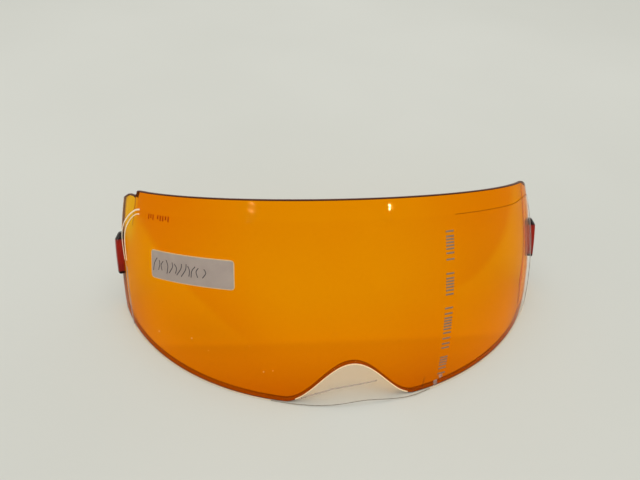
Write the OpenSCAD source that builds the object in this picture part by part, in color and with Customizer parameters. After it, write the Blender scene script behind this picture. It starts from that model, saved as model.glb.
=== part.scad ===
// Wraparound visor lens of a face shield, with its side lugs, clear peel-off film and paper label.
// It stands on its lower rim and leans back. Millimetres, +Z up, the front faces -Y.

/* [Lens] */
// Half-axis of the plan ellipse across the lens, at the outer face
half_w = 115; // [108:1:122]
// Half-axis of the plan ellipse from front to back, at the outer face
plan_depth = 85; // [78:1:95]
// Angle round the plan ellipse from the centre line to each side edge
wrap = 73; // [70:0.5:75]
// Height of the lens along its own upright axis
lens_h = 97; // [90:0.5:102]
// Wall thickness of the lens
lens_t = 2; // [1.6:0.1:2.4]
// Radius of the upright barrel curve
barrel_r = 210; // [190:5:300]
// Lean of the upright axis when the lens stands on its lower rim
lean = 30; // [27:0.5:32]
// Drop of the top edge at each rounded rear corner
corner_drop = 5; // [3:0.5:8]

/* [Nose notch] */
// Height of the notch above the lower rim, along the lens's upright axis
notch_h = 21; // [17:0.5:26]
// Half the width of the notch at the lower rim
notch_half_w = 32; // [28:1:38]

/* [Mount lugs] */
// How far each lug stands out from the lens at its fullest point
lug_proud = 3.4; // [2.5:0.1:5]
// Height of each lug
lug_h = 21; // [17:0.5:24]
// Height of the lug's middle up the lens
lug_mid = 64.5; // [60:0.5:68]

/* [Peel-off film] */
// Thickness of the film
film_t = 0.3; // [0.2:0.05:0.4]
// Gap between the film and the lens
film_gap = 0.35; // [0.3:0.05:0.5]
// How far the film's top edge stays below the lens's top edge
film_inset = 8.7; // [5:0.1:12]
// How far the film's lower edge flares out from the lens
film_flare = 0.9; // [0:0.1:1.2]
// How far the loose corner of the film stands off the lens
corner_lift = 3.2; // [1:0.2:4]

/* [Label] */
// Width of the label along the lens
label_w = 44.5; // [40:0.5:50]
// Height of the label
label_h = 13; // [10:0.5:15]
// Thickness of the label
label_t = 0.2; // [0.15:0.05:0.3]

/* [Hidden] */

// the height at which the barrel curve stands furthest out
mid_h = lens_h / 2;
// the lens's corners start to drop this far round from the centre line
corner_start = wrap - 13;
// how gently that drop begins, 1 being a straight slope
corner_bend = 1.2;
// clearance of the lugs and of the label from what they are bonded to
bond = 0.05;

// the lugs reach round the lens from lug_front to lug_rear
lug_front = wrap - 3.8;
lug_rear = wrap - 1.1;
// share of the full stand-out that is left at a lug's foot, at its top and at its front and rear edges
lug_foot = 0.68;
lug_crown = 0.5;
lug_edge = 0.88;
// the lug's top slopes off above this share of its height
lug_shoulder = 0.84;

// the film reaches round the lens to this angle on each side
film_wrap = wrap - 8.5;
// radius of the film's upper corners
film_corner = 16;
// height of the film's lower edge above the surface that the lens stands on
film_floor = 0.4;
// height over which the lower edge flares
flare_h = 4;
// width and height of the loose corner
loose_w = 26;
loose_h = 22;

// middle of the label, as an angle round the lens and a height up it, and its slope
label_angle = -37.8;
label_mid = 65.7;
label_slope = -1;
label_corner = 1.6;

// grid of each panel: steps round the lens and steps up it
lens_steps = [96, 10];
film_steps = [80, 16];
label_steps = [24, 4];
lug_steps = [6, 14];

// length of the plan ellipse's normal before it is scaled to one
function slope_len(a) = norm([sin(a) / half_w, cos(a) / plan_depth]);
// outward unit normal of the plan ellipse at angle a
function out_x(a) = sin(a) / half_w / slope_len(a);
function out_y(a) = -cos(a) / plan_depth / slope_len(a);
// how far the barrel curve draws the wall in at height h
function barrel(h) = pow(h - mid_h, 2) / (2 * barrel_r);

// point on the lens, upright: angle a, height h, depth d in from the outer face
function upright(a, h, d) =
    let (inward = d + barrel(h))
    [half_w * sin(a) - inward * out_x(a),
     plan_depth * (1 - cos(a)) - inward * out_y(a),
     h];

// the same point after the lens leans back onto its lower rim
function leant(a, h, d) =
    let (p = upright(a, h, d))
    [p.x, p.y * cos(lean) + p.z * sin(lean), p.z * cos(lean) - p.y * sin(lean)];

// height up the lens at which depth d is floor_z above the standing surface
function rim_height(a, d, floor_z) =
    let (m = -out_y(a))
    let (k = floor_z + sin(lean) * (plan_depth * (1 - cos(a)) + m * d) - cos(lean) * mid_h)
    let (bend = sin(lean) * m / (2 * barrel_r))
    mid_h + 2 * k / (cos(lean) + sqrt(pow(cos(lean), 2) - 4 * bend * k));

// height of the notch's edge above the lower rim
function notch(a) =
    notch_h / 2 * (1 + cos(180 * min(abs(half_w * sin(a)) / notch_half_w, 1)));

// drop of the lens's top edge towards its rear corners
function top_drop(a) =
    corner_drop * pow(max(0, abs(a) - corner_start) / (wrap - corner_start), corner_bend);

// distance round the outer face per degree, near angle a
function arc_per_deg(a) = norm([half_w * cos(a), plan_depth * sin(a)]) * PI / 180;

// a rounded end: how far an edge falls back at distance s from the panel's side
function rounded(s, r) = s >= r ? 0 : r - sqrt(r * r - pow(r - s, 2));

// the part's frame has its origin in the middle of its footprint
front_y = leant(0, rim_height(0, -film_gap - film_t - film_flare, film_floor), -film_gap - film_t - film_flare).y;
rear_y = leant(wrap, lens_h - corner_drop, lens_t).y;
function placed(p) = p - [0, (front_y + rear_y) / 2, 0];

// closed panel between an outer and an inner face, each a function of u and v from 0 to 1
module panel(steps, outer, inner) {
    n = steps[0];
    m = steps[1];
    count = (n + 1) * (m + 1);
    points = [
        for (face = [outer, inner]) for (i = [0:n]) for (j = [0:m]) placed(face(i / n, j / m))
    ];
    at = function(i, j, back) i * (m + 1) + j + back * count;
    quads = concat(
        [for (i = [0:n - 1]) for (j = [0:m - 1])
            [at(i, j, 0), at(i, j + 1, 0), at(i + 1, j + 1, 0), at(i + 1, j, 0)]],
        [for (i = [0:n - 1]) for (j = [0:m - 1])
            [at(i, j, 1), at(i + 1, j, 1), at(i + 1, j + 1, 1), at(i, j + 1, 1)]],
        [for (i = [0:n - 1]) for (j = [0, m])
            j == 0
                ? [at(i, j, 0), at(i + 1, j, 0), at(i + 1, j, 1), at(i, j, 1)]
                : [at(i, j, 0), at(i, j, 1), at(i + 1, j, 1), at(i + 1, j, 0)]],
        [for (j = [0:m - 1]) for (i = [0, n])
            i == 0
                ? [at(i, j, 0), at(i, j, 1), at(i, j + 1, 1), at(i, j + 1, 0)]
                : [at(i, j, 0), at(i, j + 1, 0), at(i, j + 1, 1), at(i, j, 1)]]
    );
    polyhedron(points, [for (q = quads) for (t = [[0, 1, 2], [0, 2, 3]]) [q[t[0]], q[t[1]], q[t[2]]]]);
}

// one face of the lens wall
function lens_face(u, v, d) =
    let (a = wrap * (2 * u - 1))
    let (low = rim_height(a, d, 0) + notch(a))
    let (high = lens_h - top_drop(a))
    leant(a, low + (high - low) * v, d);

module lens() {
    color("darkorange", 0.7)
        panel(lens_steps, function(u, v) lens_face(u, v, 0), function(u, v) lens_face(u, v, lens_t));
}

// how far a lug stands out, at u across it and v up it
function lug_out(u, v) =
    let (rise = lug_foot + (1 - lug_foot) * min(v / lug_shoulder, 1))
    let (fall = 1 - (1 - lug_crown) * max(0, v - lug_shoulder) / (1 - lug_shoulder))
    let (side = 1 - (1 - lug_edge) * pow(abs(2 * u - 1), 4))
    lug_proud * rise * fall * side;

function lug_face(side, u, v, out) =
    let (a = lug_front + (lug_rear - lug_front) * u)
    let (p = leant(a, lug_mid + lug_h * (v - 0.5), -bond - out))
    [side * p.x, p.y, p.z];

// side is 1 on the right and -1 on the left
module mount_lug(side) {
    color("darkred")
        panel(lug_steps,
            function(u, v) lug_face(side, side > 0 ? u : 1 - u, v, lug_out(u, v)),
            function(u, v) lug_face(side, side > 0 ? u : 1 - u, v, 0));
}

module left_mount_lug() {
    mount_lug(-1);
}

module right_mount_lug() {
    mount_lug(1);
}

// how far the film's loose upper left corner stands off, at angle a and height h
function film_loose(a, h) =
    let (across = max(0, 1 - (a + film_wrap) * arc_per_deg(a) / loose_w))
    let (up = max(0, 1 - (lens_h - film_inset - h) / loose_h))
    corner_lift * pow(across * up, 1.2);

// height of the film's lower edge at angle a, on the face that is t out from its inner face
function film_low(a, t) = rim_height(a, -film_gap - film_flare - t, film_floor);

// distance of the film from the lens at angle a and height h, over its lower edge at height low
function film_off(a, h, low) =
    film_gap + film_flare * exp(-(h - low) / flare_h) + film_loose(a, h);

function film_face(u, v, t) =
    let (a = film_wrap * (2 * u - 1))
    let (side_gap = (film_wrap - abs(a)) * arc_per_deg(a))
    let (low = film_low(a, t))
    let (high = lens_h - film_inset - rounded(side_gap, film_corner))
    let (h = low + (high - low) * v)
    leant(a, h, -film_off(a, h, low) - t);

module outer_film() {
    color("whitesmoke", 0.3)
        panel(film_steps, function(u, v) film_face(u, v, film_t), function(u, v) film_face(u, v, 0));
}

function label_face(u, v, t) =
    let (s = (u - 0.5) * label_w)
    let (a = label_angle + s / arc_per_deg(label_angle))
    let (half_h = label_h / 2 - rounded(label_w / 2 - abs(s), label_corner))
    let (h = label_mid + s * tan(label_slope) + half_h * (2 * v - 1))
    leant(a, h, -film_off(a, h, film_low(a, film_t)) - film_t - bond - t);

module label() {
    color("thistle")
        panel(label_steps, function(u, v) label_face(u, v, label_t), function(u, v) label_face(u, v, 0));
}

lens();
left_mount_lug();
right_mount_lug();
outer_film();
label();
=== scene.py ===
"""Looks of the face shield lens: amber wall, side lugs, clear peel-off film, label and print."""

import math
import random

import bmesh
import bpy
from mathutils import Matrix, Vector


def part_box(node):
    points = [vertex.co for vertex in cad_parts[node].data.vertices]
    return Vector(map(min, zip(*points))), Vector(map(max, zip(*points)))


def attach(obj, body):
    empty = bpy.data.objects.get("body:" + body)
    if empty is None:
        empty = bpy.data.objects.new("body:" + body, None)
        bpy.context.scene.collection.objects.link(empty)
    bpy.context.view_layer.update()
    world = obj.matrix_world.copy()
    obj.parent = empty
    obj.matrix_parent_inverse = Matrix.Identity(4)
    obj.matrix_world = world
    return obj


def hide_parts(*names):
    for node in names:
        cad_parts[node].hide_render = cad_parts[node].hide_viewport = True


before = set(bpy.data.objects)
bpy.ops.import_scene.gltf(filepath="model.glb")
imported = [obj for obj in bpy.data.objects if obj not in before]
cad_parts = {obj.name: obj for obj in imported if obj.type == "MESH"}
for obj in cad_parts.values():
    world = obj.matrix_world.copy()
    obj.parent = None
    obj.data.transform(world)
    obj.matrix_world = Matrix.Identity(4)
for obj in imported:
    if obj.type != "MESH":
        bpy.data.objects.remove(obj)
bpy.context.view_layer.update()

MM = 0.001

# ---------------------------------------------------------------- sizes, in millimetres and degrees

HALF_W = 115.0  # half-axes of the plan ellipse, at the outer face
PLAN_DEPTH = 85.0
WRAP = 73.0  # angle of each side edge from the centre line
LENS_H = 97.0
LENS_T = 2.0
LENS_ROUND = 0.45
BARREL_R = 210.0  # radius of the upright curve
LEAN = 30.0
CORNER_DROP = 5.0
CORNER_START = WRAP - 13.0
CORNER_BEND = 1.2
STEP_ANGLE = -60.6  # where the top edge steps down, near the upper left corner
STEP_DROP = 2.4
STEP_CRACK, STEP_CRACK_W = 0.8, 2.0  # a small extra notch at the step
# the bright strip along the notch is a painted highlight
RIM_STRIP = 0.45  # width of the bright strip along the notch
NOTCH_H = 21.0
NOTCH_HALF_W = 32.0
MID_H = LENS_H / 2

FILM_GAP = 0.45
FILM_T = 0.14
FILM_ROUND = 0.05
FILM_INSET = 8.7
FILM_FLARE = 0.15
NOTCH_FLARE = 0.65  # how much further the film stands off across the notch
FLARE_H = 4.0
FILM_WRAP = WRAP - 8.5
FILM_TOP = LENS_H - FILM_INSET
FILM_CORNER = 16.0
FILM_FLOOR = 0.45
LOOSE_REACH = (34.0, 30.0)  # how far the loose corner spreads along the film and down it
LOOSE_BOW, LOOSE_CURL = 0.9, 2.2  # how far it stands off in all, and how far more at its edge
CREASE_BASE = 0.05  # how proud of the film its creases and folds lie
FILM_HEM = 0.24  # width of the film's edge, where it shows as a line

LABEL_W = 44.5
LABEL_H = 13.0
LABEL_T = 0.18
LABEL_ROUND = 0.05
LABEL_ANGLE = -37.8
LABEL_MID = 65.7
LABEL_SLOPE = -1.0
LABEL_CORNER = 1.6
LABEL_HEM = 0.35

LUG_FRONT = WRAP - 3.8
LUG_REAR = WRAP - 1.1
LUG_MID = 64.5
LUG_H = 21.0
LUG_PROUD = 3.4
LUG_ROUND = 0.6
LUG_SHOULDER = 0.84  # share of the lug's height at which it is proudest

BOND = 0.05  # clearance of a bonded piece from what it is bonded to
UV_SPAN = 300.0  # millimetres of lens that one unit of UV covers
ROUND_STEPS = 4


# ---------------------------------------------------------------- the lens's own coordinates

def sin(degrees):
    return math.sin(math.radians(degrees))


def cos(degrees):
    return math.cos(math.radians(degrees))


def smooth(x):
    x = min(max(x, 0.0), 1.0)
    return x * x * (3 - 2 * x)


def plan_normal(angle):
    """Outward unit normal of the plan ellipse."""
    x, y = sin(angle) / HALF_W, -cos(angle) / PLAN_DEPTH
    size = math.hypot(x, y)
    return x / size, y / size


def leant(angle, height, out):
    """A point out millimetres proud of the outer face, with the lens leaning on its lower rim."""
    nx, ny = plan_normal(angle)
    proud = out - (height - MID_H) ** 2 / (2 * BARREL_R)
    x = HALF_W * sin(angle) + proud * nx
    y = PLAN_DEPTH * (1 - cos(angle)) + proud * ny
    return Vector((x, y * cos(LEAN) + height * sin(LEAN), height * cos(LEAN) - y * sin(LEAN)))


# the frame's origin is in the middle of the footprint, and the lens's rear corner gives the shift
REAR = leant(WRAP, LENS_H - CORNER_DROP, -LENS_T).y
SHIFT = Vector((0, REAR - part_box("lens")[1].y / MM, 0))


def on_lens(angle, height, out):
    return (leant(angle, height, out) - SHIFT) * MM


def rim_height(angle, out, floor):
    """Height up the lens at which a point is floor millimetres above the standing surface."""
    m = -plan_normal(angle)[1]
    k = floor + sin(LEAN) * (PLAN_DEPTH * (1 - cos(angle)) - m * out) - cos(LEAN) * MID_H
    bend = sin(LEAN) * m / (2 * BARREL_R)
    return MID_H + 2 * k / (cos(LEAN) + math.sqrt(cos(LEAN) ** 2 - 4 * bend * k))


def arc_per_degree(angle):
    return math.hypot(HALF_W * cos(angle), PLAN_DEPTH * sin(angle)) * math.pi / 180


ARC_STEP = 0.5
ARC_TABLE = [0.0]
while len(ARC_TABLE) * ARC_STEP <= 80:
    ARC_TABLE.append(ARC_TABLE[-1] + ARC_STEP * arc_per_degree((len(ARC_TABLE) - 0.5) * ARC_STEP))


def arc(angle):
    """Distance round the outer face from the centre line."""
    step = abs(angle) / ARC_STEP
    i = int(step)
    length = ARC_TABLE[i] + (ARC_TABLE[i + 1] - ARC_TABLE[i]) * (step - i)
    return math.copysign(length, angle)


def uv_of(angle, height):
    return 0.5 + arc(angle) / UV_SPAN, 0.1 + height / UV_SPAN


def rounded(s, r):
    """How far an edge falls back at distance s from the side that it rounds into."""
    return 0.0 if s >= r else r - math.sqrt(max(0.0, r * r - (r - s) ** 2))


# ---------------------------------------------------------------- mesh building

def new_object(name, verts, faces, uvs, materials, face_slots=None):
    mesh = bpy.data.meshes.new(name)
    mesh.from_pydata([tuple(v) for v in verts], [], faces)
    layer = mesh.uv_layers.new(name="UVMap")
    for loop in mesh.loops:
        layer.data[loop.index].uv = uvs[loop.vertex_index]
    for material in materials:
        mesh.materials.append(material)
    if face_slots:
        mesh.polygons.foreach_set("material_index", face_slots)
    mesh.polygons.foreach_set("use_smooth", [True] * len(mesh.polygons))
    mesh.update()
    piece = bpy.data.objects.new(name, mesh)
    bpy.context.scene.collection.objects.link(piece)
    return piece


def join(name, parts):
    """One object from several that share a material list."""
    whole = bmesh.new()
    for part in parts:
        whole.from_mesh(part.data)
    mesh = bpy.data.meshes.new(name)
    whole.to_mesh(mesh)
    whole.free()
    for material in parts[0].data.materials:
        mesh.materials.append(material)
    for part in parts:
        bpy.data.meshes.remove(part.data)
    piece = bpy.data.objects.new(name, mesh)
    bpy.context.scene.collection.objects.link(piece)
    return piece


def corner(radius):
    """Steps of a rounded edge, from the face to the edge: (back from the edge, depth in the face)."""
    turn = [90 * k / ROUND_STEPS for k in range(ROUND_STEPS + 1)]
    return [(radius * (1 - sin(t)), radius * (1 - cos(t))) for t in turn]


def section(thick, radius, inset, rows, hem):
    """An upright section through a wall: (share of its height, back from that end, depth)."""
    lower = [(0, inset + back, inset + depth) for back, depth in reversed(corner(radius))]
    face = [(k / rows, 0, inset) for k in range(1, rows)]
    upper = [(1, inset + back, inset + depth) for back, depth in corner(radius)]
    if hem:
        face = [(0, hem, inset)] + face + [(1, hem, inset)]
    outer = lower + face + upper
    return outer + [(share, back, thick - depth) for share, back, depth in reversed(outer)]


def wall(name, span, grid, low, high, out, thick, radius, materials, edge_slot=None, hem=0,
         place=on_lens):
    """A curved closed wall with rounded edges, between the two angles of span.

    low(angle, out) and high(angle) give the heights of its lower and upper edge, and
    out(angle, height) how proud its outer face is. edge_slot(angle, height, zone) gives the material
    slot of its edges, where zone is "strip" on the hem-wide strip of the outer face beside an edge,
    "outer" on the rounding next to it, and "inner" on the rest."""
    first, last = span
    columns, rows = grid
    reach = radius / arc_per_degree(first)
    left = [(first + back / arc_per_degree(first), depth) for back, depth in reversed(corner(radius)[1:])]
    right = [(last - back / arc_per_degree(last), depth) for back, depth in corner(radius)[1:]]
    middle = [(first + reach + (last - first - 2 * reach) * k / columns, 0) for k in range(columns + 1)]
    if hem:
        strip = hem / arc_per_degree(first)
        middle = middle[:1] + [(first + strip, 0)] + middle[1:-1] + [(last - strip, 0)] + middle[-1:]
    stations = left + middle + right
    side_faces = ROUND_STEPS + (1 if hem else 0)
    verts, uvs, spots = [], [], []
    for angle, inset in stations:
        top = high(angle)
        foot_out = out(angle, low(angle, 0))
        for share, back, depth in section(thick, radius, inset, rows, hem):
            bottom = low(angle, foot_out - depth)
            start, end = bottom + radius + inset, top - radius - inset
            height = bottom + back if share == 0 else top - back if share == 1 else (
                start + (end - start) * share)
            verts.append(place(angle, height, out(angle, height) - depth))
            uvs.append(uv_of(angle, height))
            spots.append((angle, height))
    profile = section(thick, radius, 0, rows, hem)
    n = len(profile)
    faces, slots = [], []
    for i in range(len(stations) - 1):
        side = i < side_faces or i >= len(stations) - 1 - side_faces
        for k in range(n):
            after = (k + 1) % n
            a, b = i * n + k, i * n + after
            faces.append((a, a + n, b + n, b))
            on_end = profile[k][0] == profile[after][0] and profile[k][0] in (0, 1)
            front = k < n // 2 - 1
            zone = "strip" if profile[k][2] == profile[after][2] else "outer"
            slots.append(edge_slot(*spots[a], zone if front else "inner")
                         if edge_slot and (side or on_end) else 0)
    end = (len(stations) - 1) * n
    for k in range(n // 2 - 1):
        faces.append((k, k + 1, n - 2 - k, n - 1 - k))
        faces.append((end + k, end + n - 1 - k, end + n - 2 - k, end + k + 1))
        for spot in (spots[k], spots[end + k]):
            slots.append(edge_slot(*spot, "inner") if edge_slot else 0)
    return new_object(name, verts, faces, uvs, materials, slots)


def level(value):
    """The same value everywhere."""
    return lambda *_: value


def ribbon(name, path, width, base, thick, material):
    """A thin strip lying base(angle, height) proud of the lens, along a path of (angle, height)."""
    verts, uvs = [], []
    for i, (angle, height) in enumerate(path):
        before, after = path[max(i - 1, 0)], path[min(i + 1, len(path) - 1)]
        along = Vector((arc(after[0]) - arc(before[0]), after[1] - before[1])).normalized()
        for side, rise in ((-1, 0), (-0.7, 1), (0.7, 1), (1, 0)):
            a = angle - side * along.y * width / 2 / arc_per_degree(angle)
            h = height + side * along.x * width / 2
            verts.append(on_lens(a, h, base(a, h) + rise * thick))
            uvs.append(uv_of(a, h))
    faces = [(0, 1, 2, 3)]
    for i in range(len(path) - 1):
        for k in range(4):
            a, b = 4 * i + k, 4 * i + (k + 1) % 4
            faces.append((a, a + 4, b + 4, b))
    end = 4 * (len(path) - 1)
    faces.append((end + 3, end + 2, end + 1, end))
    return new_object(name, verts, faces, uvs, [material])


def fine(points, step=1.0):
    """A path of straight lines with a point every step millimetres or so."""
    path = [points[0]]
    for (a0, h0), (a1, h1) in zip(points, points[1:]):
        count = max(1, round(math.hypot(arc(a1) - arc(a0), h1 - h0) / step))
        path += [(a0 + (a1 - a0) * k / count, h0 + (h1 - h0) * k / count) for k in range(1, count + 1)]
    return path


def bead(name, angle, height, base, radius, flat, material):
    """A low round bead, such as a bubble or a speck of dust."""
    around, up = 12, 4
    verts = [on_lens(angle, height, base + flat * radius)]
    uvs = [uv_of(angle, height)]
    for j in range(1, up + 1):
        turn = 90 * j / up
        for i in range(around):
            a = angle + radius * sin(turn) * cos(360 * i / around) / arc_per_degree(angle)
            h = height + radius * sin(turn) * sin(360 * i / around)
            verts.append(on_lens(a, h, base + flat * radius * cos(turn)))
            uvs.append(uv_of(a, h))
    faces = [(0, 1 + i, 1 + (i + 1) % around) for i in range(around)]
    for j in range(up - 1):
        for i in range(around):
            a, b = 1 + j * around + i, 1 + j * around + (i + 1) % around
            faces.append((a, a + around, b + around, b))
    last = 1 + (up - 1) * around
    faces.append(tuple(last + i for i in reversed(range(around))))
    return new_object(name, verts, faces, uvs, [material])


# ---------------------------------------------------------------- material nodes

class Paint:
    """A material's node tree, with short calls for the nodes that the materials here share."""

    def __init__(self, name):
        self.material = bpy.data.materials.new(name)
        self.material.use_nodes = True
        self.tree = self.material.node_tree
        self.tree.nodes.clear()
        self.output = self.tree.nodes.new("ShaderNodeOutputMaterial")
        self.uv = self.node("ShaderNodeUVMap", uv_map="UVMap").outputs[0]

    def node(self, kind, **settings):
        made = self.tree.nodes.new(kind)
        for key, value in settings.items():
            setattr(made, key, value)
        return made

    def put(self, socket, value):
        if isinstance(value, bpy.types.NodeSocket):
            self.tree.links.new(value, socket)
        elif value is not None:
            socket.default_value = value

    def math(self, operation, a, b=None, c=None, clamp=False):
        made = self.node("ShaderNodeMath", operation=operation, use_clamp=clamp)
        for socket, value in zip(made.inputs, (a, b, c)):
            self.put(socket, value)
        return made.outputs[0]

    def mm(self):
        """The place on the lens in millimetres: round it from the centre line, and up it."""
        parts = self.node("ShaderNodeSeparateXYZ")
        self.put(parts.inputs[0], self.uv)
        return (self.math("MULTIPLY_ADD", parts.outputs[0], UV_SPAN, -0.5 * UV_SPAN),
                self.math("MULTIPLY_ADD", parts.outputs[1], UV_SPAN, -0.1 * UV_SPAN))

    def stretched(self, across, up):
        """UV stretched so that a texture is drawn out by these factors."""
        made = self.node("ShaderNodeMapping")
        self.put(made.inputs["Vector"], self.uv)
        made.inputs["Scale"].default_value = (1 / across, 1 / up, 1)
        return made.outputs[0]

    def noise(self, scale, detail=3.0, vector=None):
        made = self.node("ShaderNodeTexNoise")
        self.put(made.inputs["Vector"], vector or self.uv)
        made.inputs["Scale"].default_value = scale
        made.inputs["Detail"].default_value = detail
        return made.outputs[0]

    def band(self, value, low, high, start=0.0, end=1.0):
        """Value mapped smoothly from low..high to start..end."""
        made = self.node("ShaderNodeMapRange", interpolation_type="SMOOTHSTEP")
        self.put(made.inputs["Value"], value)
        for key, number in (("From Min", low), ("From Max", high), ("To Min", start), ("To Max", end)):
            self.put(made.inputs[key], number)
        return made.outputs[0]

    def mix(self, share, a, b):
        made = self.node("ShaderNodeMix", data_type="RGBA")
        self.put(made.inputs["Factor"], share)
        self.put(made.inputs["A"], a)
        self.put(made.inputs["B"], b)
        return made.outputs["Result"]

    def bump(self, height, distance):
        made = self.node("ShaderNodeBump")
        self.put(made.inputs["Height"], height)
        made.inputs["Distance"].default_value = distance
        made.inputs["Strength"].default_value = 1.0
        return made.outputs[0]

    def principled(self, **values):
        made = self.node("ShaderNodeBsdfPrincipled")
        for key, value in values.items():
            self.put(made.inputs[key.replace("_", " ")], value)
        return made.outputs[0]

    def lets_lamps_through(self, glass, tint):
        """Glass that lamps and the light off the floor pass straight through, tinted."""
        path = self.node("ShaderNodeLightPath")
        clear = self.node("ShaderNodeBsdfTransparent")
        self.put(clear.inputs[0], tint)
        either = self.math("MAXIMUM", path.outputs["Is Shadow Ray"], path.outputs["Is Diffuse Ray"])
        mixed = self.node("ShaderNodeMixShader")
        self.put(mixed.inputs[0], either)
        self.put(mixed.inputs[1], glass)
        self.put(mixed.inputs[2], clear.outputs[0])
        return mixed.outputs[0]

    def done(self, shader):
        self.put(self.output.inputs[0], shader)
        return self.material


def rgb(r, g, b):
    return (r, g, b, 1.0)


AMBER = rgb(1.0, 0.395, 0.0003)
# painted shade: darker ambers that the lens is mixed towards where shade falls on it, and at its foot
AMBER_PAINTED_SHADE = rgb(0.90, 0.235, 0.0002)
AMBER_PAINTED_FOOT_SHADE = rgb(0.70, 0.185, 0.0002)
# painted light: the lens glows a little, though it is no lamp
AMBER_PAINTED_GLOW = rgb(1.0, 0.27, 0.0)  # a slight glow, which keeps the red as bright as the table
# painted light: a paler amber for the lit upper left corner
AMBER_PAINTED_LIGHT = rgb(0.90, 0.48, 0.006)
AMBER_SHADOW = rgb(1.0, 0.82, 0.60)  # what one face lets through to a shadow


def amber_lens():
    p = Paint("amber_lens")
    across, up = p.mm()
    # painted shade: the upper right area is darker, up to a clear curved boundary
    right = p.math("POWER", p.math("DIVIDE", p.math("SUBTRACT", across, 48.0), 47.0, clamp=True), 1.5)
    below = p.math("POWER", p.math("DIVIDE", p.math("SUBTRACT", LENS_H, up), 42.0, clamp=True), 1.5)
    inside = p.band(p.math("ADD", right, below), 1.03, 0.97)
    inside = p.math("MULTIPLY", inside, p.band(across, 0, 90, 0, 0.6))
    # painted shade on the upper left area too, above a slanting line
    slant = p.math("MULTIPLY_ADD", across, -0.80, -2.2)
    left = p.band(p.math("SUBTRACT", up, slant), -0.6, 0.8)
    left = p.math("MULTIPLY", left, p.band(across, -20, -100, 0, 0.65))
    # and painted shade darkens the whole lens towards its upper and lower rims and its sides
    top = p.band(up, 55, LENS_H, 0, 0.32)
    shifted = p.math("ADD", across, 8.0)
    bowed = p.math("MULTIPLY_ADD", p.math("MULTIPLY", shifted, shifted), 0.0015, up)
    foot = p.math("ADD", p.band(bowed, 37.5, 34, 0, 0.3), p.band(bowed, 34, 0, 0, 0.65))
    sides = p.math("ADD", p.band(across, 86, 120, 0, 0.6), p.band(across, -92, -124, 0, 0.35))
    cloud = p.band(p.noise(7, 2), 0.35, 0.75, 0, 0.10)
    painted_shade = p.math("ADD", p.math("MAXIMUM", inside, left), p.math("ADD", top, cloud), clamp=True)
    tint = p.mix(painted_shade, AMBER, AMBER_PAINTED_SHADE)
    tint = p.mix(p.math("ADD", foot, sides, clamp=True), tint, AMBER_PAINTED_FOOT_SHADE)
    # painted light: the upper left corner is paler, past the step in the top edge
    wavy = p.math("MULTIPLY_ADD", p.noise(60, 2), 1.6, across)
    pale = p.band(wavy, -112.3, -112.9)
    pale = p.math("MULTIPLY", pale, p.band(up, 66, 82))
    tint = p.mix(pale, tint, AMBER_PAINTED_LIGHT)
    wave = p.noise(22, 2)
    # painted light: the glass glows a little, to keep it as bright as the table
    glass = p.principled(Base_Color=tint, Roughness=0.015, IOR=1.06, Transmission_Weight=1.0,
                         Emission_Color=AMBER_PAINTED_GLOW, Emission_Strength=0.055,
                         Specular_Tint=rgb(1.0, 0.7, 0.35), Normal=p.bump(wave, 0.00004))
    return p.done(p.lets_lamps_through(glass, AMBER_SHADOW))


def plain(name, dark, light, rough, level=0.5, scale=400, depth=0.00004, glow=0.0):
    """An opaque material with a fine grain in its colour and relief, and a painted glow when glow is set.
    """
    p = Paint(name)
    grain = p.noise(scale, 4)
    colour = p.mix(p.band(grain, 0.3, 0.7), rgb(*dark), rgb(*light))
    painted_glow = {"Emission_Color": colour, "Emission_Strength": glow} if glow else {}
    return p.done(p.principled(Base_Color=colour, Roughness=rough, IOR=1.45, Specular_IOR_Level=level,
                               Normal=p.bump(grain, depth), **painted_glow))


def red_lug():
    p = Paint("red_lug")
    _, up = p.mm()
    # painted shade: the lug is near-black at its upper and lower ends
    crown = p.band(up, LUG_MID + LUG_H / 2 - 3.6, LUG_MID + LUG_H / 2 - 3.0)
    foot = p.band(up, LUG_MID - LUG_H / 2 + 1.7, LUG_MID - LUG_H / 2 + 1.2)
    ends = p.math("MAXIMUM", crown, foot)
    cloud = p.noise(60, 3)
    body = p.mix(p.band(cloud, 0.3, 0.7), rgb(0.24, 0.008, 0.002), rgb(0.36, 0.014, 0.003))
    tint = p.mix(ends, body, rgb(0.010, 0.002, 0.002))
    return p.done(p.principled(Base_Color=tint, Roughness=0.3, IOR=1.45, Specular_IOR_Level=0.15,
                               Normal=p.bump(p.noise(500, 3), 0.00003)))


def clear_film():
    p = Paint("clear_film")
    wave = p.noise(16, 2)
    scuffs = p.noise(120, 3, p.stretched(8, 0.6))
    haze = p.math("MULTIPLY", p.band(p.noise(14, 3), 0.45, 0.8), 0.05)
    rough = p.math("ADD", p.math("MULTIPLY", p.band(scuffs, 0.55, 0.8), 0.04), haze)
    ripples = p.math("ADD", wave, p.math("MULTIPLY", scuffs, 0.05))
    glass = p.principled(Base_Color=rgb(0.99, 0.965, 0.935), Roughness=rough, IOR=1.035,
                         Transmission_Weight=1.0, Normal=p.bump(ripples, 0.0002))
    return p.done(p.lets_lamps_through(glass, rgb(0.98, 0.975, 0.965)))


def film_haze(name, colour, alpha):
    """A faint mark in the film, such as a crease."""
    p = Paint(name)
    streak = p.noise(90, 3)
    shade = p.mix(p.band(streak, 0.3, 0.7), rgb(*colour), rgb(*(0.8 * c for c in colour)))
    return p.done(p.principled(Base_Color=shade, Roughness=0.5, IOR=1.4, Alpha=alpha,
                               Normal=p.bump(streak, 0.00004)))


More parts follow.
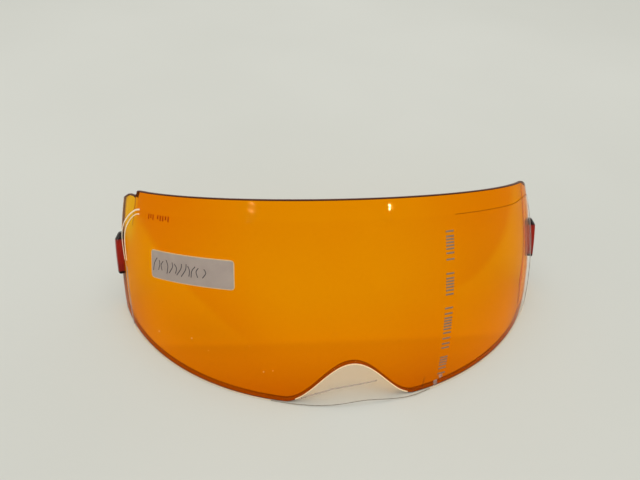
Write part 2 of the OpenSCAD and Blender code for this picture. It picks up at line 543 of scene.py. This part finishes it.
def label_paper():
    p = Paint("label_paper")
    fibres = p.noise(700, 5)
    cloud = p.noise(30, 3)
    paper = p.mix(p.band(cloud, 0.3, 0.7), rgb(0.49, 0.395, 0.335), rgb(0.425, 0.34, 0.29))
    paper = p.mix(p.math("MULTIPLY", p.band(fibres, 0.45, 0.75), 0.25), paper, rgb(0.56, 0.46, 0.39))
    return p.done(p.principled(Base_Color=paper, Roughness=0.75, IOR=1.4, Specular_IOR_Level=0.3,
                               Normal=p.bump(fibres, 0.00006)))


# ---------------------------------------------------------------- lens and lugs

def notch(angle):
    share = min(abs(HALF_W * sin(angle)) / NOTCH_HALF_W, 1)
    return NOTCH_H / 2 * (1 + math.cos(math.pi * share))


def lens_low(angle, out):
    return rim_height(angle, out, 0) + notch(angle)


def lens_high(angle):
    past = max(0, abs(angle) - CORNER_START) / (WRAP - CORNER_START)
    drop = CORNER_DROP * past ** CORNER_BEND
    if angle < STEP_ANGLE:
        crack = STEP_CRACK * max(0, 1 - (STEP_ANGLE - angle) * arc_per_degree(angle) / STEP_CRACK_W)
        drop = max(drop, STEP_DROP) + crack
    return LENS_H - drop


NOTCH_LINE_FROM = 1.2  # how high the notch is where its bright line starts


def make_lens():
    glass, dark, bright, painted_shade = range(4)

    # the edges' slots: a painted highlight strip along the notch, and painted shade on the other cut
    # edges
    def edge(angle, height, zone):
        in_notch = height < MID_H and notch(angle) > NOTCH_LINE_FROM
        if zone == "strip":
            return bright if in_notch else glass
        if in_notch:
            return bright if zone == "outer" else painted_shade
        return painted_shade if zone == "inner" and height < MID_H else dark
    # painted shade and highlight on the cut edges: a near-black line and a dark amber stand in for the
    # light lost along them, and a cream strip with a painted glow lights the notch; the cut lines use the
    # near-black one
    materials = [amber_lens(),
                 plain("rim_dark", (0.06, 0.012, 0.002), (0.10, 0.024, 0.003), 0.35, 0.1),
                 plain("rim_painted_highlight", (0.86, 0.62, 0.36), (1.0, 0.80, 0.52), 0.3, 0.5, glow=0.35),
                 plain("rim_painted_shade", (0.28, 0.075, 0.002), (0.36, 0.10, 0.003), 0.3, 0.1)]
    lens = wall("visor_lens", (-WRAP, WRAP), (220, 44), lens_low, lens_high, level(0), LENS_T,
                LENS_ROUND, materials, edge_slot=edge, hem=RIM_STRIP + LENS_ROUND)
    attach(lens, "shield")
    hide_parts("lens")
    cracks = (([(-60.2, 94.2), (-60.5, 92.4), (-60.3, 90.2), (-60.9, 87.6), (-60.6, 85.0), (-61.1, 80.6)],
               0.4),
              ([(18.0, 12.4), (17.7, 8.0), (17.8, 5.2)], 0.28),
              ([(14.2, 7.0), (16.4, 6.0), (17.8, 6.0)], 0.22))
    cuts = [ribbon("cut", fine(path), width, level(0.0), 0.03, materials[dark]) for path, width in cracks]
    cuts = join("lens_cut_lines", cuts)
    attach(cuts, "shield")


def lug_out(angle, height):
    v = (height - LUG_MID) / LUG_H + 0.5
    u = (abs(angle) - LUG_FRONT) / (LUG_REAR - LUG_FRONT)
    rise = 0.68 + 0.32 * min(v / LUG_SHOULDER, 1)
    fall = 1 - 0.5 * max(0, v - LUG_SHOULDER) / (1 - LUG_SHOULDER)
    side = 1 - 0.12 * abs(2 * u - 1) ** 4
    return BOND + LUG_PROUD * rise * fall * side


def make_lugs():
    material = red_lug()
    for name, side in (("left", -1), ("right", 1)):
        def place(angle, height, out, side=side):
            share = (out - BOND) / LUG_PROUD
            spot = on_lens(angle, height, BOND + share * LUG_PROUD)
            return Vector((side * spot.x, spot.y, spot.z))
        lug = wall(name + "_lug", (LUG_FRONT, LUG_REAR), (16, 28), level(LUG_MID - LUG_H / 2),
                   level(LUG_MID + LUG_H / 2), lug_out, LUG_PROUD, LUG_ROUND, [material], place=place)
        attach(lug, "shield")
        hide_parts(name + "_mount_lug")


# ---------------------------------------------------------------- film

def film_floor(angle):
    """The film's lower edge rides up a little across the notch."""
    return FILM_FLOOR + 2.0 * math.exp(-((angle - 3.0) / 6.0) ** 2)


def film_flare(angle):
    across_notch = NOTCH_FLARE * math.exp(-(angle / 17.0) ** 4)
    return FILM_FLARE + across_notch + 0.6 * math.exp(-((angle - 15.0) / 4.0) ** 2)


def film_low(angle, out):
    return rim_height(angle, out, film_floor(angle))


def film_foot(angle):
    return film_low(angle, FILM_GAP + film_flare(angle) + FILM_T)


def film_raise(angle):
    """How far the film's top edge rises beside the loose corner and at its right end."""
    loose = 1.8 * smooth(1 - abs(arc(angle) + 103) / 11)
    return loose if angle < 0 else 1.7 * smooth((angle - 46) / 13)


def film_high(angle):
    side_gap = (FILM_WRAP - abs(angle)) * arc_per_degree(angle)
    return FILM_TOP + film_raise(angle) - rounded(side_gap, FILM_CORNER if angle < 0 else FILM_CORNER / 3)


def loose_corner(angle, height):
    """How far the film's loose upper left corner stands off."""
    s = (angle + FILM_WRAP) * arc_per_degree(angle)
    d = FILM_TOP - height
    inside = min(s, d)
    if s < FILM_CORNER and d < FILM_CORNER:
        inside = FILM_CORNER - math.hypot(FILM_CORNER - s, FILM_CORNER - d)
    near = smooth(1 - s / LOOSE_REACH[0]) * smooth(1 - d / LOOSE_REACH[1])
    return LOOSE_BOW * near + LOOSE_CURL * math.sqrt(near) * smooth(1 - inside / 7)


def side_bulge(angle, height):
    """How far the film bows out near its side edges."""
    upright = smooth(1.3 - abs(height - 55) / 32)
    return upright * (0.9 if angle > 0 else 0.3) * smooth((abs(angle) - 50) / 14)


def film_out(angle, height):
    flare = film_flare(angle) * math.exp(-max(0, height - film_foot(angle)) / FLARE_H)
    ripple = 0.07 * math.sin(0.05 * arc(angle) + 0.11 * height) * math.sin(0.13 * height + 1.3)
    return FILM_GAP + FILM_T + flare + ripple + loose_corner(angle, height) + side_bulge(angle, height)


def above_film(gap):
    """How proud of the lens a mark lies that is gap millimetres above the film."""
    return lambda angle, height: film_out(angle, height) + gap


def corner_line(inset):
    """A path of (angle, height) round the loose corner, inset from the film's edge."""
    reach = FILM_CORNER - inset
    spots = [(inset, FILM_CORNER + 9 - k) for k in range(9)]
    spots += [(FILM_CORNER - reach * cos(6 * k), FILM_CORNER - reach * sin(6 * k)) for k in range(16)]
    path = []
    for s, d in spots:
        angle = -FILM_WRAP + s / arc_per_degree(-FILM_WRAP)
        path.append((angle, FILM_TOP + film_raise(angle) - d))
    return path


def make_film():
    clear, dark, light, shadowed_hem, upright = range(5)

    # the edges' slots: painted shadow along the lower edge across the notch, a cream line with painted
    # highlight along the rest of it, a painted reflection up the sides, and painted shade along the right
    # of the top edge
    def edge(angle, height, zone):
        if height < film_foot(angle) + 1.5:
            return shadowed_hem if abs(angle) < 19 else light
        if height < FILM_TOP - 2:
            return upright
        return dark if angle > 24 else clear
    # painted light on the film's edges: a dark shaded line, a cream line with a painted glow, a painted
    # shadow line and a pale painted reflection
    shaded = plain("film_edge_shaded", (0.24, 0.06, 0.002), (0.30, 0.08, 0.003), 0.5, 0.0)
    bright = plain("film_edge_painted_highlight", (0.78, 0.62, 0.42), (0.92, 0.76, 0.55), 0.4, 0.3, glow=0.2)
    hem_shadow = plain("film_edge_painted_shadow", (0.30, 0.25, 0.20), (0.42, 0.35, 0.29), 0.4, 0.2)
    side = plain("film_edge_side", (0.60, 0.46, 0.39), (0.70, 0.56, 0.48), 0.4, 0.2)
    film = wall("peel_film", (-FILM_WRAP, FILM_WRAP), (170, 60), film_low, film_high, film_out, FILM_T,
                FILM_ROUND, [clear_film(), shaded, bright, hem_shadow, side], edge_slot=edge, hem=FILM_HEM)
    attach(film, "film")
    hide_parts("outer_film")
    base = above_film(CREASE_BASE)
    # the loose corner's edge and a crease round it, drawn as cream strips with a painted highlight glow
    arcs = [ribbon("arc", corner_line(0.4), 0.75, base, 0.08, bright),
            ribbon("arc", corner_line(2.4), 0.5, base, 0.12, bright)]
    veil = film_haze("film_veil", (0.62, 0.49, 0.42), 0.4)
    marks = (([(-11.8, 7.4), (-4.4, 12.4), (5.6, 15.2)], 1, 0.8),
             ([(20.9, film_foot(20.9) + 4.2), (21.2, film_foot(21.2) + 1.2)], 1, 2.2),
             ([(22.2, 12.2), (22.6, 10.4)], 1, 2.0),
             # painted reflection: the two long bands near the side edges grey the film where it turns
             # away
             ([(63.3, 84), (63.3, film_foot(63.3) + 1.5)], 3, 2.6),
             ([(-63.8, 60), (-63.8, film_foot(-63.8) + 1.5)], 3, 1.5))
    folds_and_sheen = [ribbon("fold", fine(path, step), width, base, 0.03, veil) for path, step, width in marks]
    for piece in (join("film_corner_crease_highlights", arcs), join("film_folds_and_side_sheen", folds_and_sheen)):
        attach(piece, "film")


# ---------------------------------------------------------------- label and print

def label_angle(s):
    return LABEL_ANGLE + s / arc_per_degree(LABEL_ANGLE)


def label_edge(s, sign):
    half = LABEL_H / 2 - rounded(LABEL_W / 2 - abs(s), LABEL_CORNER)
    return LABEL_MID + s * math.tan(math.radians(LABEL_SLOPE)) + sign * half


def label_s(angle):
    return (angle - LABEL_ANGLE) * arc_per_degree(LABEL_ANGLE)


def label_out(angle, height):
    return film_out(angle, height) + BOND + LABEL_T


def make_label():
    label = wall("paper_label", (label_angle(-LABEL_W / 2), label_angle(LABEL_W / 2)), (60, 12),
                 lambda angle, out: label_edge(label_s(angle), -1),
                 lambda angle: label_edge(label_s(angle), 1),
                 label_out, LABEL_T, LABEL_ROUND,
                 [label_paper(), plain("label_edge", (0.70, 0.48, 0.22), (0.84, 0.62, 0.32), 0.5, 0.3)],
                 edge_slot=level(1), hem=LABEL_HEM)
    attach(label, "film")
    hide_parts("label")


def on_label(s, v):
    """The (angle, height) of a place s along the label from its middle and v up it."""
    return label_angle(s), LABEL_MID + s * math.tan(math.radians(LABEL_SLOPE)) + v


def curve_through(points, steps=9):
    """A smooth path through a few points of (s, v)."""
    ends = [points[0]] + points + [points[-1]]
    path = []
    for p0, p1, p2, p3 in zip(ends, ends[1:], ends[2:], ends[3:]):
        for k in range(steps):
            t = k / steps
            path.append(tuple(
                0.5 * (2 * b + (c - a) * t + (2 * a - 5 * b + 4 * c - d) * t ** 2
                       + (3 * b - a - 3 * c + d) * t ** 3)
                for a, b, c, d in zip(p0, p1, p2, p3)))
    return path + [points[-1]]


PEN_STROKES, PEN_FIRST, PEN_STEP = 12, -19.4, 2.5


def make_pen_marks():
    """A row of chance pen strokes on the label, which spell nothing."""
    chance = random.Random(23)
    ink = plain("pen_ink", (0.035, 0.028, 0.032), (0.07, 0.058, 0.062), 0.5, 0.3)
    parts = []
    for k in range(PEN_STROKES):
        middle, tall = PEN_FIRST + PEN_STEP * k, chance.uniform(1.9, 3.2)
        lean = chance.uniform(-0.4, 1.5)
        bow = chance.choice((-1, 1)) * chance.uniform(0.5, 1.3)
        stroke = [(middle + lean, tall), (middle + bow, 0.15 * tall), (middle - lean, -tall)]
        path = [on_label(s, v - 0.05 * k) for s, v in curve_through(stroke)]
        parts.append(ribbon("stroke", path, 0.42, lambda a, h: label_out(a, h) + 0.005, 0.02, ink))
    pen = join("pen_scribble", parts)
    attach(pen, "film")


COLUMN_TOP, COLUMN_FOOT = (22.4, 80.2), (22.4, 13.0)  # angle and height of the printed column's ends
COLUMN_GROUPS = (4, 3, 6, 3)  # marks in each group, from the top
MARK_W, MARK_H = 4.3, 2.7
MARKS = ((0.1, 0.9), (0.0, 0.5, 1.0), (0.15, 0.85), (0.5,))  # where each mark's bars lie up its height


def make_printed_column():
    """The notice printed down the film, as groups of plain bars that spell nothing."""
    grey = plain("grey_print", (0.25, 0.17, 0.10), (0.34, 0.24, 0.16), 0.5, 0.2)
    places = sum(COLUMN_GROUPS) + len(COLUMN_GROUPS) - 1
    base = above_film(0.008)
    parts, place, kind = [], 0, 0
    for group in COLUMN_GROUPS:
        for _ in range(group):
            share = place / (places - 1)
            angle = COLUMN_TOP[0] + (COLUMN_FOOT[0] - COLUMN_TOP[0]) * share
            height = COLUMN_TOP[1] + (COLUMN_FOOT[1] - COLUMN_TOP[1]) * share
            half = MARK_W / 2 / arc_per_degree(angle)
            for y in MARKS[kind % len(MARKS)]:
                path = [(angle + side * half, height + (y - 0.5) * MARK_H) for side in (-1, 1)]
                parts.append(ribbon("mark", fine(path, 0.6), 0.8, base, 0.02, grey))
            place, kind = place + 1, kind + 1
        place += 1
    column = join("printed_column", parts)
    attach(column, "film")


TICKS, TICK_GAP = 9, 3  # places in the row, and the place left empty
TICK_FIRST, TICK_STEP, TICK_TOP = -52.3, 0.98, 87.8  # degrees, degrees and millimetres
TICK_HEIGHTS = (2.4, 1.7, 2.4)


def make_small_print():
    """A row of red ticks printed on the lens, under the film."""
    red = plain("red_print", (0.40, 0.020, 0.001), (0.50, 0.032, 0.002), 0.5, 0.0)
    parts = []
    for k in range(TICKS):
        if k != TICK_GAP:
            angle = TICK_FIRST + TICK_STEP * k
            tall = TICK_HEIGHTS[k % len(TICK_HEIGHTS)]
            path = fine([(angle, TICK_TOP - tall), (angle + 0.05, TICK_TOP)], 0.5)
            parts.append(ribbon("tick", path, 0.75, level(0.02), 0.03, red))
    ticks = join("small_print", parts)
    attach(ticks, "shield")


# angle, height and width of each large bubble
BUBBLES = ((-50.0, 32.2, 0.9), (-38.3, 33.2, 0.8), (-33.8, 28.4, 0.5), (-20.2, 20.6, 0.7),
           (-18.0, 21.4, 0.55), (-23.0, 33.2, 0.4), (-51.3, 52.2, 0.35), (-52.4, 42.8, 0.4))


def make_specks():
    """Bubbles under the film, and dust on it."""
    # painted reflection: the bubbles are opaque pale amber beads, for the light that the air pockets send
    # back
    pale = plain("bubble", (0.88, 0.45, 0.10), (0.98, 0.62, 0.25), 0.3, 0.5)
    dust = plain("dust", (0.10, 0.04, 0.01), (0.20, 0.08, 0.02), 0.7, 0.2)
    parts = [bead("bubble", a, h, 0.02, 0.5 * size, 0.25, pale) for a, h, size in BUBBLES]
    chance = random.Random(7)
    for _ in range(26):
        angle, height = chance.uniform(-52, 20), chance.uniform(12, 48)
        height = max(height, lens_low(angle, 0) + 2)
        parts.append(bead("bubble", angle, height, 0.02, chance.uniform(0.07, 0.16), 0.3, pale))
    bubbles = join("bubbles", parts)
    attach(bubbles, "shield")
    parts = []
    for angle, height, size in ((-46.7, 49.2, 0.6), (35.4, 83.5, 0.4), (31.0, 70.0, 0.3)):
        parts.append(bead("dust", angle, height, film_out(angle, height) + 0.005, 0.5 * size, 0.3, dust))
    for _ in range(30):
        angle, height = chance.uniform(-55, 55), chance.uniform(30, 84)
        parts.append(bead("dust", angle, height, film_out(angle, height) + 0.005,
                          chance.uniform(0.05, 0.11), 0.3, dust))
    specks = join("dust_specks", parts)
    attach(specks, "film")


# ---------------------------------------------------------------- floor, light and camera

TABLE_HALF = 2.5  # metres
TABLE_DROP = 0.00005  # metres below the rim, so that the two faces are told apart


def make_floor():
    p = Paint("table_top")
    p.uv = p.node("ShaderNodeTexCoord").outputs["Object"]
    cloud = p.noise(3, 3)
    grain = p.noise(300, 4)
    white = p.mix(p.band(cloud, 0.3, 0.7), rgb(0.65, 0.655, 0.598), rgb(0.68, 0.685, 0.628))
    material = p.done(p.principled(Base_Color=white, Roughness=0.6, Specular_IOR_Level=0.0,
                                   Normal=p.bump(grain, 0.00003)))
    uvs = [(0, 0), (1, 0), (1, 1), (0, 1)]
    corners = [((2 * u - 1) * TABLE_HALF, (2 * v - 1) * TABLE_HALF, -TABLE_DROP) for u, v in uvs]
    floor = new_object("table", corners, [(0, 1, 2, 3)], uvs, [material])


def area_light(name, place, aim, size, power):
    data = bpy.data.lights.new(name, "AREA")
    data.shape = "RECTANGLE"
    data.size, data.size_y = size
    data.energy = power
    lamp = bpy.data.objects.new(name, data)
    lamp.location = place
    lamp.rotation_euler = (Vector(aim) - Vector(place)).to_track_quat("-Z", "Y").to_euler()
    bpy.context.scene.collection.objects.link(lamp)
    return lamp


def make_light():
    world = bpy.data.worlds.new("soft_room")
    bpy.context.scene.world = world
    world.use_nodes = True
    back = world.node_tree.nodes["Background"]
    back.inputs[0].default_value = (1.0, 1.0, 0.985, 1)
    back.inputs[1].default_value = 0.55
    area_light("ceiling", (0.0, 0.3, 1.6), (0, 0, 0), (1.6, 1.2), 14.0)


CAMERA_AT = Vector((-0.0361, -0.1526, 0.2083))
CAMERA_DOWN = 43.95  # degrees below the horizon
CAMERA_TURN = 8.77  # degrees to the right of straight ahead
CAMERA_ROLL = 3.97
CAMERA_LENS = 27.6


def make_camera():
    data = bpy.data.cameras.new("camera")
    data.lens = CAMERA_LENS
    data.sensor_width = 36
    camera = bpy.data.objects.new("camera", data)
    ahead = Vector((sin(CAMERA_TURN) * cos(CAMERA_DOWN), cos(CAMERA_TURN) * cos(CAMERA_DOWN),
                    -sin(CAMERA_DOWN)))
    camera.location = CAMERA_AT
    aim = ahead.to_track_quat("-Z", "Y").to_matrix()
    camera.rotation_euler = (aim @ Matrix.Rotation(math.radians(CAMERA_ROLL), 3, "Z")).to_euler()
    bpy.context.scene.collection.objects.link(camera)
    bpy.context.scene.camera = camera


LAMP_FAR = 2.0  # metres from the lens


def glint(name, angle, height, size, power):
    """A small lamp that the camera sees mirrored in the lens at this angle and height."""
    spot = on_lens(angle, height, 0)
    round_it = on_lens(angle + 0.5, height, 0) - on_lens(angle - 0.5, height, 0)
    up_it = on_lens(angle, height + 0.5, 0) - on_lens(angle, height - 0.5, 0)
    normal = round_it.cross(up_it).normalized()
    sight = (spot - CAMERA_AT).normalized()
    mirrored = sight - 2 * sight.dot(normal) * normal
    lamp = area_light(name, spot + mirrored * LAMP_FAR, spot, size, power)
    lamp.visible_diffuse = False


def make_glints():
    glint("tube_a", -22.0, 95.4, (0.10, 0.014), 20)
    glint("tube_b", -22.0, 92.4, (0.09, 0.012), 15)
    glint("window", 8.1, 93.2, (0.04, 0.07), 40)


def main():
    bpy.context.scene.view_settings.view_transform = "Standard"
    make_camera()
    make_lens()
    make_lugs()
    make_film()
    make_label()
    make_pen_marks()
    make_printed_column()
    make_small_print()
    make_specks()
    make_floor()
    make_light()
    make_glints()


main()
